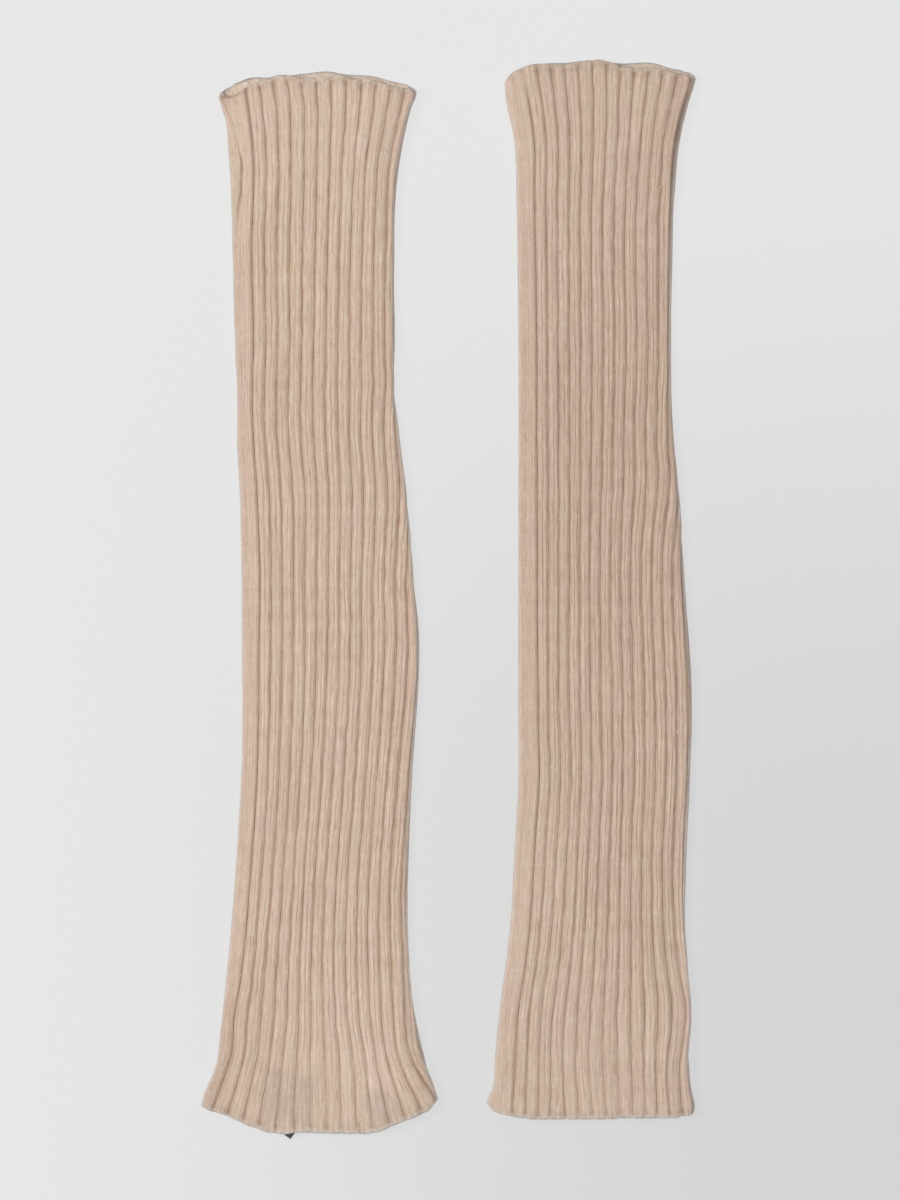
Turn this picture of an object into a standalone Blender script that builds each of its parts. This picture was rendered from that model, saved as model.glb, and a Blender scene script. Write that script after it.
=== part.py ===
"""Pair of long rib-knit arm warmers, lying flat side by side.

Each warmer is a knitted tube pressed flat, so its front layer lies on its back layer and the
two meet at a rounded fold on each side. A plain band runs along the left fold, the rib panel
closes the rest of the tube, and a narrow knitted edge finishes each mouth. A small folded
label lies between the layers of the left warmer and shows one corner below the hem.

Metres, +Z up, +Y towards the upper mouths. The origin is on the surface that the pair lies
on, in the middle of the pair.
"""

import math
from collections import namedtuple

import bpy
import numpy as np

MM = 0.001

# Cloth and the space between its layers
WALL = 2.4 * MM
LAYER_GAP = 0.5 * MM
MOUTH_GAP = 3.0 * MM
MOUTH_REACH = 90 * MM
SEAM_GAP = 0.3 * MM

# Knitted edge round each mouth
EDGE_RADIUS = WALL / 2
HEM_REACH = 60 * MM
RIM = 2 * EDGE_RADIUS + SEAM_GAP

# Side band: how far it reaches round the fold under the warmer
BAND_BACK = 5 * MM

# Label, folded once, between the layers of the left warmer
LABEL_WIDTH = 26 * MM
LABEL_HEIGHT = 30 * MM
LABEL_THICKNESS = 0.6 * MM
LABEL_TURN = math.radians(-29)
LABEL_PLACE = (-85.2 * MM, -259.9 * MM)
LABEL_ROUNDING = 0.15 * MM

# Mesh spacing
ROWS = 29
ROW_CROWDING = 0.75
FRONT_STEPS = 12
FOLD_STEPS = 4
BACK_STEPS = 9

# A ring coordinate runs round the flattened tube: 0 to 1 over the front from left to right,
# 1 to 2 down the right fold, 2 to 3 back under the warmer and 3 to 4 up the left fold.
FRONT, RIGHT_FOLD, BACK, LEFT_FOLD, ROUND = 0, 1, 2, 3, 4

# Outline in plan, in mm: distance down from the upper corners, the two edges measured from
# the warmer's own axis, and the width of the plain band on the front.
Outline = namedtuple("Outline", "down left right band")
# Mouth line in mm: share of the width, then how far front and back layer pass the corners.
Mouth = namedtuple("Mouth", "across front back")
Warmer = namedtuple("Warmer", "name axis top outline upper lower")

LEFT_OUTLINE = (
    Outline(0, -52, 50, 13.5),
    Outline(10, -49.5, 46.5, 13.5),
    Outline(30, -47.5, 42, 12),
    Outline(55, -46, 39, 10.5),
    Outline(120, -44.5, 39, 9.5),
    Outline(160, -43, 39.5, 8.5),
    Outline(180, -43, 42, 8.5),
    Outline(210, -41.5, 45.5, 8.5),
    Outline(240, -41, 48, 9),
    Outline(282, -40.5, 52, 9),
    Outline(310, -40.5, 51, 8.5),
    Outline(345, -40.5, 49, 8.5),
    Outline(385, -43, 47, 8.5),
    Outline(425, -45.5, 46.5, 7.5),
    Outline(455, -48.5, 47, 7),
    Outline(488, -52, 52, 7),
    Outline(500, -53.5, 54.5, 7),
    Outline(510, -57, 58, 7),
    Outline(519, -60.5, 60.5, 7),
    Outline(523, -61, 61, 7),
)
RIGHT_OUTLINE = (
    Outline(0, -49.5, 49.5, 12),
    Outline(10, -48.5, 46.5, 11),
    Outline(20, -47, 43.5, 10.5),
    Outline(32, -44.5, 41.5, 10),
    Outline(60, -43.5, 39, 9.5),
    Outline(95, -43, 38, 9.5),
    Outline(135, -42.5, 37, 9.5),
    Outline(177, -42.5, 38, 9.5),
    Outline(218, -42.5, 41.5, 9.5),
    Outline(260, -42.5, 44, 9.5),
    Outline(290, -42.5, 46.5, 9.5),
    Outline(322, -42.5, 48, 10),
    Outline(363, -42.5, 47, 10),
    Outline(405, -44.5, 44.5, 10),
    Outline(436, -46.5, 44.5, 10),
    Outline(467, -50, 46.5, 10),
    Outline(488, -53, 47.5, 10),
    Outline(508, -55, 47, 10.5),
    Outline(524, -57, 48.5, 12),
    Outline(531.5, -58, 49, 12),
)
LEFT_UPPER = (
    Mouth(0, 0, 0),
    Mouth(0.06, 0.5, 4.5),
    Mouth(0.13, 2.5, 8),
    Mouth(0.19, 6.5, 9.6),
    Mouth(0.32, 8, 10.5),
    Mouth(0.5, 9, 12.7),
    Mouth(0.7, 7.5, 10.6),
    Mouth(0.83, 6, 8),
    Mouth(0.92, 2.8, 6.2),
    Mouth(1, 1.5, 1.5),
)
LEFT_LOWER = (
    Mouth(0, 0, 0),
    Mouth(0.11, 6, 6.5),
    Mouth(0.25, 12.5, 13),
    Mouth(0.35, 14.5, 15),
    Mouth(0.5, 15, 15.5),
    Mouth(0.68, 15, 15.5),
    Mouth(0.79, 11.8, 12.3),
    Mouth(0.93, 6, 6.5),
    Mouth(1, -1, -1),
)
RIGHT_UPPER = (
    Mouth(0, -1, -1),
    Mouth(0.05, 2.5, 3.5),
    Mouth(0.14, 6.5, 8),
    Mouth(0.3, 6.5, 8.8),
    Mouth(0.45, 7.5, 10.2),
    Mouth(0.6, 6.2, 7.8),
    Mouth(0.81, 4.2, 7.9),
    Mouth(0.9, 2, 5),
    Mouth(1, 0, 0),
)
RIGHT_LOWER = (
    Mouth(0, 0, 0),
    Mouth(0.06, 4.2, 4.5),
    Mouth(0.15, 6, 6.4),
    Mouth(0.4, 8, 8.5),
    Mouth(0.6, 7.6, 8),
    Mouth(0.8, 7, 7.4),
    Mouth(0.95, 6, 6.4),
    Mouth(1, 4.2, 4.2),
)
WARMERS = (
    Warmer("left", -66.8 * MM, 262.1 * MM, LEFT_OUTLINE, LEFT_UPPER, LEFT_LOWER),
    Warmer("right", 78.7 * MM, 270.2 * MM, RIGHT_OUTLINE, RIGHT_UPPER, RIGHT_LOWER),
)

Finish = namedtuple("Finish", "colour roughness")
FINISHES = {
    "rib_panel": Finish((0.56, 0.42, 0.32), 0.95),
    "side_band": Finish((0.60, 0.46, 0.36), 0.95),
    "upper_edge": Finish((0.55, 0.43, 0.35), 0.95),
    "lower_edge": Finish((0.55, 0.44, 0.36), 0.95),
    "label": Finish((0.09, 0.08, 0.09), 0.85),
}


def smooth(share):
    """Ease from 0 to 1 with level ends."""
    share = np.clip(share, 0, 1)
    return share * share * (3 - 2 * share)


def read_curve(places, values, at):
    """Value at each place in `at`, on a smooth curve through the table's points."""
    places = np.asarray(places, float)
    values = np.asarray(values, float)
    slopes = np.gradient(values, places)
    at = np.clip(at, places[0], places[-1])
    span = np.clip(np.searchsorted(places, at, side="right") - 1, 0, len(places) - 2)
    width = places[span + 1] - places[span]
    t = (at - places[span]) / width
    start = (1 + 2 * t) * (1 - t) ** 2 * values[span]
    end = t * t * (3 - 2 * t) * values[span + 1]
    lean = t * (1 - t) ** 2 * slopes[span] - t * t * (1 - t) * slopes[span + 1]
    return start + end + lean * width


def column(table, name):
    return [getattr(row, name) for row in table]


def outline_at(warmer, down, name):
    """One outline column, in metres, at each distance down from the upper corners."""
    rows = warmer.outline
    return read_curve(column(rows, "down"), column(rows, name), down / MM) * MM


def length_of(warmer):
    return warmer.outline[-1].down * MM


def gap_at(warmer, down):
    """Space between the layers: narrow along the tube, wider at the mouths."""
    to_mouth = np.minimum(down, length_of(warmer) - down)
    return LAYER_GAP + (MOUTH_GAP - LAYER_GAP) * smooth(1 - to_mouth / MOUTH_REACH)


def mouth_pass(table, across, height_share):
    """How far the cloth passes the corners, mixed from back (0) to front (1) by height."""
    across_column = column(table, "across")
    front = read_curve(across_column, column(table, "front"), across)
    back = read_curve(across_column, column(table, "back"), across)
    return (back + (front - back) * height_share) * MM


def cloth_points(warmer, ring, down):
    """Middle of the cloth at ring coordinates and distances down, as an array of points."""
    gap = gap_at(warmer, down)
    fold_radius = (WALL + gap) / 2
    outer_radius = WALL + gap / 2
    left = outline_at(warmer, down, "left")
    right = outline_at(warmer, down, "right")
    flat_start = left + outer_radius
    flat_end = right - outer_radius
    ring = np.mod(ring, ROUND)
    stretch = np.floor(ring).astype(int)
    share = ring - stretch
    angle = np.where(stretch == RIGHT_FOLD, 0.5 - share, 1.5 - share) * math.pi
    on_fold = (stretch == RIGHT_FOLD) | (stretch == LEFT_FOLD)
    along = np.where(stretch == FRONT, share, 1 - share)
    flat_x = flat_start + (flat_end - flat_start) * along
    fold_x = np.where(stretch == RIGHT_FOLD, flat_end, flat_start) + fold_radius * np.cos(angle)
    middle = WALL / 2 + fold_radius
    flat_z = np.where(stretch == FRONT, middle + fold_radius, middle - fold_radius)
    x = np.where(on_fold, fold_x, flat_x)
    z = np.where(on_fold, middle + fold_radius * np.sin(angle), flat_z)
    across = (x - left) / (right - left)
    height_share = (z - middle + fold_radius) / (2 * fold_radius)
    upper = mouth_pass(warmer.upper, across, height_share)
    lower = mouth_pass(warmer.lower, across, height_share)
    upper_fade = np.clip(1 - down / HEM_REACH, 0, 1) ** 2
    lower_fade = np.clip(1 - (length_of(warmer) - down) / HEM_REACH, 0, 1) ** 2
    y = warmer.top - down + upper * upper_fade - lower * lower_fade
    return np.stack([warmer.axis + x, y, z], axis=-1)


def row_places(warmer):
    """Distances down of the mesh rows, closer together towards the mouths."""
    t = np.linspace(0, 1, ROWS)
    eased = t - ROW_CROWDING * np.sin(2 * math.pi * t) / (2 * math.pi)
    return RIM + (length_of(warmer) - 2 * RIM) * eased


def band_ends(warmer, down):
    """Ring shares where the plain band ends: on the front, and on the back."""
    gap = gap_at(warmer, down)
    outer_radius = WALL + gap / 2
    left = outline_at(warmer, down, "left")
    right = outline_at(warmer, down, "right")
    flat = right - left - 2 * outer_radius
    front = (outline_at(warmer, down, "band") - outer_radius) / flat
    return front, BAND_BACK / flat, SEAM_GAP / 2 / flat


def panel_ring(warmer, down):
    """Ring coordinates of the rib panel for one row."""
    front, back, half_seam = band_ends(warmer, down)
    return np.concatenate([
        np.linspace(front + half_seam, RIGHT_FOLD, FRONT_STEPS + 1),
        np.linspace(RIGHT_FOLD, BACK, FOLD_STEPS + 1)[1:],
        np.linspace(BACK, LEFT_FOLD - back - half_seam, BACK_STEPS + 1)[1:],
    ])


def band_ring(warmer, down):
    """Ring coordinates of the plain band for one row."""
    front, back, half_seam = band_ends(warmer, down)
    return np.concatenate([
        [LEFT_FOLD - back + half_seam],
        np.linspace(LEFT_FOLD, ROUND, FOLD_STEPS + 1),
        [ROUND + front - half_seam],
    ])


def full_ring(warmer, down):
    """Ring coordinates once round the tube: the panel's, the band's and the two seams."""
    front, back, _ = band_ends(warmer, down)
    panel = panel_ring(warmer, down)
    band = band_ring(warmer, down)
    return np.concatenate([[front], panel[1:-1], [LEFT_FOLD - back], band[1:-1]])


def edge_path(warmer, down, outward):
    """Middle of a knitted edge: the panel's rim moved on along the cloth, clear of it."""
    rim = cloth_points(warmer, full_ring(warmer, down), down)
    along = np.roll(rim, -1, axis=0) - np.roll(rim, 1, axis=0)
    level = np.hypot(along[:, 0], along[:, 2])
    zeros = np.zeros(len(rim))
    out_of_cloth = np.stack([-along[:, 2] / level, zeros, along[:, 0] / level], axis=1)
    onward = np.cross(out_of_cloth, along) * outward
    onward /= np.linalg.norm(onward, axis=1, keepdims=True)
    return rim + onward * (SEAM_GAP + EDGE_RADIUS)


def material_for(obj, kind):
    finish = FINISHES[kind]
    material = bpy.data.materials.new(obj.name)
    material.use_nodes = True
    shader = material.node_tree.nodes["Principled BSDF"]
    shader.inputs["Base Color"].default_value = (*finish.colour, 1)
    shader.inputs["Roughness"].default_value = finish.roughness
    shader.inputs["Metallic"].default_value = 0
    obj.data.materials.append(material)


def cloth_wall(collection, name, kind, points):
    """A wall of cloth: the open middle surface through rows of points, given its thickness."""
    rows, stations, _ = points.shape
    index = np.arange(rows * stations).reshape(rows, stations)
    corners = [index[:-1, :-1], index[1:, :-1], index[1:, 1:], index[:-1, 1:]]
    faces = np.stack([corner.ravel() for corner in corners], axis=1)
    mesh = bpy.data.meshes.new(name)
    mesh.from_pydata(points.reshape(-1, 3).tolist(), [], faces.tolist())
    mesh.shade_smooth()
    obj = bpy.data.objects.new(name, mesh)
    collection.objects.link(obj)
    wall = obj.modifiers.new("Wall", "SOLIDIFY")
    wall.thickness = WALL
    wall.offset = 0
    wall.use_even_offset = True
    material_for(obj, kind)
    return obj


def knitted_edge(collection, name, kind, path):
    """A round edge: a closed curve with the cloth's thickness."""
    curve = bpy.data.curves.new(name, "CURVE")
    curve.dimensions = "3D"
    curve.bevel_depth = EDGE_RADIUS
    curve.bevel_resolution = 2
    spline = curve.splines.new("POLY")
    spline.points.add(len(path) - 1)
    for point, place in zip(spline.points, path):
        point.co = (*place, 1)
    spline.use_cyclic_u = True
    obj = bpy.data.objects.new(name, curve)
    collection.objects.link(obj)
    material_for(obj, kind)
    return obj


def folded_label(collection):
    """The label, flat on the back layer, with its lower right corner past the hem."""
    height = WALL + SEAM_GAP + LABEL_THICKNESS / 2
    bpy.ops.mesh.primitive_cube_add(
        size=1, location=(*LABEL_PLACE, height), rotation=(0, 0, LABEL_TURN)
    )
    obj = bpy.context.object
    obj.name = "label"
    obj.scale = (LABEL_WIDTH, LABEL_HEIGHT, LABEL_THICKNESS)
    bpy.ops.object.transform_apply(location=False, rotation=False, scale=True)
    rounding = obj.modifiers.new("Rounding", "BEVEL")
    rounding.width = LABEL_ROUNDING
    rounding.segments = 1
    for holder in list(obj.users_collection):
        holder.objects.unlink(obj)
    collection.objects.link(obj)
    material_for(obj, "label")
    return obj


def build_warmer(collection, warmer):
    """Rib panel, plain band and the two knitted edges of one warmer."""
    places = row_places(warmer)
    panel = np.stack([cloth_points(warmer, panel_ring(warmer, d), d) for d in places])
    band = np.stack([cloth_points(warmer, band_ring(warmer, d), d) for d in places])
    cloth_wall(collection, f"{warmer.name}_rib_panel", "rib_panel", panel)
    cloth_wall(collection, f"{warmer.name}_side_band", "side_band", band)
    upper = edge_path(warmer, places[0], 1)
    lower = edge_path(warmer, places[-1], -1)
    knitted_edge(collection, f"{warmer.name}_upper_edge", "upper_edge", upper)
    knitted_edge(collection, f"{warmer.name}_lower_edge", "lower_edge", lower)


def main():
    for obj in list(bpy.data.objects):
        bpy.data.objects.remove(obj, do_unlink=True)
    collection = bpy.data.collections.new("arm_warmers")
    bpy.context.scene.collection.children.link(collection)
    for warmer in WARMERS:
        build_warmer(collection, warmer)
    folded_label(collection)


main()
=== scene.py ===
"""Looks of a pair of long rib-knit arm warmers that lie flat, side by side.

Each warmer is a knitted tube pressed flat, and its surface is a function of two numbers. The
turn runs round the tube: 0 is the first groove beside the plain band on the front, every rib
adds one, and the plain band takes the turns from -1 to 0. The drop is the distance down from
the upper corners. Relief, mouths, stitches and colours all follow these two numbers.

Metres, +Z up, +Y towards the upper mouths, in the frame's own place and size.
"""

import logging
import math
from collections.abc import Callable, Mapping, Sequence
from dataclasses import dataclass, field, replace
from enum import Enum
from typing import NamedTuple

import bpy
import numpy as np
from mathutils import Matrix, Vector


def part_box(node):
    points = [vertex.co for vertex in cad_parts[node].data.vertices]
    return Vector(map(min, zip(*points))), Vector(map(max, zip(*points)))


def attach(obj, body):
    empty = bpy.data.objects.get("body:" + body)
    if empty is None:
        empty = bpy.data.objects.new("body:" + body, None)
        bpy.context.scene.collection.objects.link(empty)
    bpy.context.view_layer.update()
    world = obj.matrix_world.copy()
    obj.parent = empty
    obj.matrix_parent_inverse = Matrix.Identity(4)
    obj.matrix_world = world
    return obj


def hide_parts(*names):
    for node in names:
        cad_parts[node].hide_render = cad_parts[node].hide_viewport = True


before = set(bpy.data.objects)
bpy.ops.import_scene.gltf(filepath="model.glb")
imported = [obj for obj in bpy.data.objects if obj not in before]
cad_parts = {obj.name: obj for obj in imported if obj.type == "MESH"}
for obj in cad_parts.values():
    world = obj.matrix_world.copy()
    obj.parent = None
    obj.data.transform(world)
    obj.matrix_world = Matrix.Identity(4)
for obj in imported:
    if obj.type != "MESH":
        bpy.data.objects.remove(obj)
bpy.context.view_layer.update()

LOG = logging.getLogger("arm_warmers")
MM = 0.001
BODY = "root"

# Sections of the cloth
WALL = 2.4 * MM
LAYER_GAP = 0.5 * MM
MOUTH_REACH = 90 * MM
HEM_REACH = 60 * MM
BAND_BACK = 5 * MM
RIBS = 27
DETAILED_RIBS = 16
FINE_RIB = (0, 0.05, 0.1, 0.15, 0.2, 0.26, 0.33, 0.4, 0.46, 0.5, 0.54, 0.6, 0.67, 0.75, 0.84, 0.93)
PLAIN_RIB = (0, 0.07, 0.15, 0.28, 0.5, 0.72, 0.85, 0.93)
TABLED_TURNS = np.array((0.0, 3, 6, 9, 12))
WALES_PER_RIB = 3
WALE_START = 0.35
WALE = 1.5 * MM
COURSE = 1.2 * MM
SHADE_SOFTNESS = 7
SHARP = math.radians(62)
KNOTS = 256
TIP_ROW = 1.5
WAVE_ROW = 4.5
HAIR = 1e-9
SQUARE = ((-1, -1), (1, -1), (1, 1), (-1, 1))

# Columns of the tables: mm down, then mm from the warmer's axis, past the corners or in from
# the fold. The first column of a mouth is the share of the width.
OUTLINE = ("down", "left", "right")
GROOVES = ("down", "first", "fourth", "seventh", "tenth", "thirteenth")
MOUTH = ("across", "front", "back")
LINE = ("down", "inset", "strength")

Colour = tuple[float, float, float, float]
Screen = tuple[int, int, int]
Array = np.ndarray


class Layer(Enum):
    """Which face of the cloth a grid of points stands for."""

    OUTER = 1
    INNER = -1


class End(Enum):
    """Which mouth of the tube, and the way the cloth ends there along +Y."""

    UPPER = 1
    LOWER = -1


class Play(Enum):
    """A warmer's fields of unevenness: seed, knots to a unit across, and the step along."""

    GROOVE_WIDTH = (0, 1, 8 * MM)
    GROOVE_DEPTH = (1, 1, 8 * MM)
    SWAY = (2, 0.8, 24 * MM)
    KINK = (3, 1.7, 6.5 * MM)
    SWELL = (4, 1 / (21 * MM), 34 * MM)
    FURROW = (5, 1, 17 * MM)
    WALE_HEIGHT = (6, 1, 17 * MM)
    TIP = (7, 1, 1)
    WAVE = (8, 0.6, 1)
    EDGE_SHADE_PLAY = (9, 1 / (5 * MM), 1)
    WANDER = (10, 1, 30 * MM)
    LUMP = (11, 2.3, 2.2 * MM)


def eased(share: Array) -> Array:
    """Three times the square less twice the cube: 0 to 1 with level ends."""
    share = np.clip(share, 0, 1)
    return share * share * (3 - 2 * share)


def hump(distance: Array, width: float | Array, power: float = 2) -> Array:
    """One at distance 0, falling as e to the minus (distance over width) to a power."""
    return np.exp(-((np.abs(distance) / width) ** power))


def to_whole(number: Array) -> Array:
    """Distance to the nearest whole number."""
    return np.abs(number - np.round(number))


def crowded(count: int, share: float) -> Array:
    """Numbers from 0 to 1, closer together by a share towards both ends."""
    t = np.linspace(0, 1, count)
    return t - share * np.sin(2 * math.pi * t) / (2 * math.pi)


def smooth(places: Array, values: Array, at: Array) -> Array:
    """Reads a smooth curve through points, on cubic pieces that share their slopes.

    Args:
        places: The points' places, rising.
        values: The points' values.
        at: Where to read.

    Returns:
        (1 + 2t)(1 - t)^2 of the point before, t^2(3 - 2t) of the point after, and both
        slopes' parts, where t is the share of the way between the two points.
    """
    slopes = np.gradient(values, places)
    at = np.clip(at, places[0], places[-1])
    span = np.clip(np.searchsorted(places, at, side="right") - 1, 0, len(places) - 2)
    width = places[span + 1] - places[span]
    t = (at - places[span]) / width
    before = (1 + 2 * t) * (1 - t) ** 2 * values[span]
    after = t * t * (3 - 2 * t) * values[span + 1]
    lean = t * (1 - t) ** 2 * slopes[span] - t * t * (1 - t) * slopes[span + 1]
    return before + after + lean * width


def uneven(seed: int, u: Array, v: Array) -> Array:
    """Smooth, repeatable noise over a plane: the four knots round a point, with eased shares.

    Args:
        seed: The start of the random numbers.
        u: First coordinate, one unit a knot.
        v: Second coordinate, one unit a knot.

    Returns:
        The noise at each point, -1 to 1.
    """
    lattice = np.random.default_rng(seed).uniform(-1, 1, (KNOTS, KNOTS))
    column, row = np.floor(u).astype(int), np.floor(v).astype(int)
    across, along = eased(u - column), eased(v - row)
    upper, lower = (
        lattice[column % KNOTS, line % KNOTS] * (1 - across)
        + lattice[(column + 1) % KNOTS, line % KNOTS] * across
        for line in (row, row + 1)
    )
    return upper * (1 - along) + lower * along


def lit(*screen: float) -> Colour:
    """Turns a colour as a screen shows it, 0 to 255, into light values by the usual curve."""
    parts = (part / 255 for part in screen)
    return *(p / 12.92 if p < 0.04045 else ((p + 0.055) / 1.055) ** 2.4 for p in parts), 1


@dataclass(frozen=True)
class Table:
    """Rows of numbers, read as smooth curves over the first column."""

    columns: tuple[str, ...]
    rows: Sequence[Sequence[float]]

    def read(self, column: str, at: Array) -> Array:
        """Value of a column at places in the unit of the first column."""
        numbers = np.array(self.rows, float)
        return smooth(numbers[:, 0], numbers[:, self.columns.index(column)], at)


class Patch(NamedTuple):
    """An oval on the plan: middle in mm, degrees from +X, half sizes in mm, and an amount."""

    x: float
    y: float
    bearing: float
    half_length: float
    half_width: float
    amount: float

    def local(self, x: Array, y: Array) -> tuple[Array, Array]:
        """Millimetres along the patch and across it from its middle, of places in metres."""
        away = (x / MM - self.x + 1j * (y / MM - self.y)) / np.exp(1j * math.radians(self.bearing))
        return away.real, away.imag

    def soft(self, x: Array, y: Array, power: float = 2) -> Array:
        """The amount times a hump to a power along the patch and one across it."""
        along, aside = self.local(x, y)
        return self.amount * hump(along, self.half_length, power) * hump(aside, self.half_width)

    def block(self, x: Array, y: Array) -> Array:
        """The amount inside the patch, with an eased fall at each side."""
        falls = zip(self.local(x, y), (self.half_length, self.half_width))
        return self.amount * math.prod(
            eased((half - np.abs(part)) / SHADE_SOFTNESS + 0.5) for part, half in falls
        )


LEFT_OUTLINE = Table(OUTLINE, (
    (0, -51.2, 48),
    (1.2, -52.5, 49.9),
    (4.5, -51.8, 50),
    (8, -50.8, 48.3),
    (12, -49.4, 47),
    (30, -47.5, 42.6),
    (86, -45.3, 39.2),
    (120, -44.5, 39.4),
    (160, -43, 39.6),
    (180, -43, 42),
    (210, -41.5, 45.7),
    (240, -41, 48.1),
    (282, -40.6, 51.9),
    (345, -40.7, 48.7),
    (385, -42.8, 46.7),
    (488, -52, 51.9),
    (500, -53.5, 54.7),
    (519.7, -61.2, 61),
    (521.8, -61.6, 61.6),
    (523, -60.3, 61),
))
RIGHT_OUTLINE = Table(OUTLINE, (
    (0, -48, 47.5),
    (1.2, -49.3, 49.3),
    (4.5, -49.5, 49.3),
    (8, -49.2, 48),
    (32, -44.5, 41.7),
    (60, -43.5, 38.9),
    (95, -42.9, 37.8),
    (177, -42.4, 38.1),
    (218, -42.5, 41.8),
    (260, -42.5, 44.2),
    (322, -42.5, 48),
    (363, -42.5, 47),
    (405, -44.7, 45.1),
    (436, -46.4, 44.5),
    (488, -52.8, 47.7),
    (508, -54.7, 46.5),
    (523.8, -56.6, 48.6),
    (526.1, -57.8, 49.4),
    (530.2, -58.6, 49.2),
    (531.5, -57.7, 48.7),
))
LEFT_GROOVES = Table(GROOVES, (
    (0, -39.1, -17.9, 5.4, 28.6, 51.2),
    (10, -37.4, -16, 5.7, 27.6, 48.1),
    (32, -34.9, -15.4, 5, 24.1, 42.6),
    (78, -35.8, -16.1, 3.6, 21.6, 40.1),
    (132, -35, -16.2, 2.7, 21, 39.7),
    (150, -35.5, -16.7, 2.4, 21.2, 40.3),
    (168, -35.4, -16.9, 2.5, 20.8, 39),
    (204, -33.2, -14.4, 4.2, 22.3, 41),
    (258, -31.5, -14.1, 3.8, 21.2, 38.7),
    (276, -31.8, -14, 3.8, 21.3, 39.3),
    (366, -33.6, -16.7, -0.2, 16.9, 33.6),
    (402, -36.2, -19.3, -2.8, 14.1, 30.8),
    (466, -42.7, -23.5, -5, 13.2, 31.1),
    (480, -45.1, -24.3, -4.9, 14.2, 31.9),
    (492, -45.7, -25.7, -5.4, 16.3, 33.5),
    (523, -56.5, -32.7, -5.1, 18.8, 44.2),
))
RIGHT_GROOVES = Table(GROOVES, (
    (0, -40.9, -19.2, 2.7, 24.5, 47),
    (32, -34.7, -16.3, 2.4, 20.6, 38.5),
    (60, -34.4, -16.6, 1.2, 18.5, 36.7),
    (150, -33.2, -16.3, 1.3, 18.6, 35.6),
    (186, -33.3, -16.2, 0.8, 17.5, 34.8),
    (204, -33.1, -16.2, 0.6, 17.7, 35.9),
    (240, -33.1, -16.3, -0.3, 15.8, 32.5),
    (330, -32.5, -16.2, 0.3, 17, 33.9),
    (366, -32, -15.5, 0.6, 17.1, 33.8),
    (384, -33.3, -16.6, -0.2, 16.2, 32.7),
    (466, -40.1, -22.7, -4.2, 15.5, 34.8),
    (480, -42.5, -24.7, -5.4, 15.4, 36.8),
    (514, -45, -26.2, -6.2, 15.8, 34.3),
    (531.5, -46.1, -26.1, -3.9, 16.5, 35.7),
))
LEFT_UPPER = Table(MOUTH, (
    (0, -1.1, 3.8),
    (0.05, -0.4, 5.1),
    (0.075, 0.2, 7),
    (0.1, 1.3, 7.7),
    (0.13, 4.4, 8.9),
    (0.25, 8, 10.1),
    (0.3, 10, 11.5),
    (0.36, 10.2, 10.8),
    (0.42, 8.8, 11.8),
    (0.56, 9.8, 12.9),
    (0.62, 10.8, 12.1),
    (0.7, 8.1, 11.5),
    (0.76, 8.6, 10.9),
    (0.91, 4.3, 7.6),
    (1, 3, 5.5),
))
LEFT_LOWER = Table(MOUTH, (
    (0, 2.9, 2.9),
    (0.02, 3.8, 4.2),
    (0.05, 4.6, 5),
    (0.2, 11.7, 12.1),
    (0.36, 15.9, 16.3),
    (0.4, 15.4, 15.8),
    (0.6, 15.5, 15.9),
    (0.75, 14.4, 14.8),
    (0.83, 10.3, 10.7),
    (0.94, 4.9, 5.3),
    (0.97, 2.8, 3.2),
    (1, -0.8, -0.8),
))
RIGHT_UPPER = Table(MOUTH, (
    (0, -0.6, 1),
    (0.01, 1.3, 2.9),
    (0.05, 4.3, 5.5),
    (0.34, 8.4, 9.5),
    (0.4, 9.7, 10.4),
    (0.56, 9.3, 9.4),
    (0.6, 7.5, 9),
    (0.8, 5.7, 8.9),
    (0.875, 4, 6.8),
    (0.94, 2.4, 5.8),
    (0.97, 2, 4.9),
    (1, 1.6, 5.2),
))
RIGHT_LOWER = Table(MOUTH, (
    (0, 1.1, 1.1),
    (0.02, 3.6, 4),
    (0.04, 4.35, 4.75),
    (0.3, 7.7, 8.1),
    (0.4, 7.5, 7.9),
    (0.8, 6.9, 7.3),
    (0.92, 6.5, 6.9),
    (0.95, 5.6, 6.1),
    (1, 5.5, 5.6),
))
LEFT_BAND_CREASE = Table(LINE, (
    (0, 1.6, 0.8),
    (5, 2.6, 0.7),
    (12.5, 3.4, 0.45),
    (24, 5, 0.4),
    (29.5, 6.2, 0.6),
    (33, 6.8, 1.15),
    (41, 6.3, 1.2),
    (49, 5.7, 1.15),
    (53, 5.1, 1.1),
    (58, 4, 0.95),
    (64.5, 3.1, 0.5),
    (72, 2.6, 0),
))
RIGHT_BAND_CREASE = Table(LINE, ((0, 4, 0), (10, 4, 0)))
# Painted shade along each warmer's right fold, where the cloth turns away from the light
LEFT_FOLD_SHADE = Table(LINE, (
    (0, 1.2, 0.15),
    (40, 1, 0.3),
    (130, 1.3, 0.35),
    (210, 2, 0.15),
    (288, 1.3, 0.22),
    (366, 1.7, 0.38),
    (443, 2.3, 0.33),
    (490, 4.5, 0.22),
    (523, 4.5, 0.1),
))
RIGHT_FOLD_SHADE = Table(LINE, (
    (0, 1.6, 0.4),
    (12, 2.1, 0.7),
    (40, 1.8, 0.75),
    (70, 1.3, 0.65),
    (120, 1.6, 0.38),
    (200, 2, 0.28),
    (280, 1.4, 0.55),
    (340, 1.1, 0.5),
    (390, 0.7, 0.3),
    (430, 0.7, 0.05),
    (531.5, 0.7, 0),
))
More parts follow.
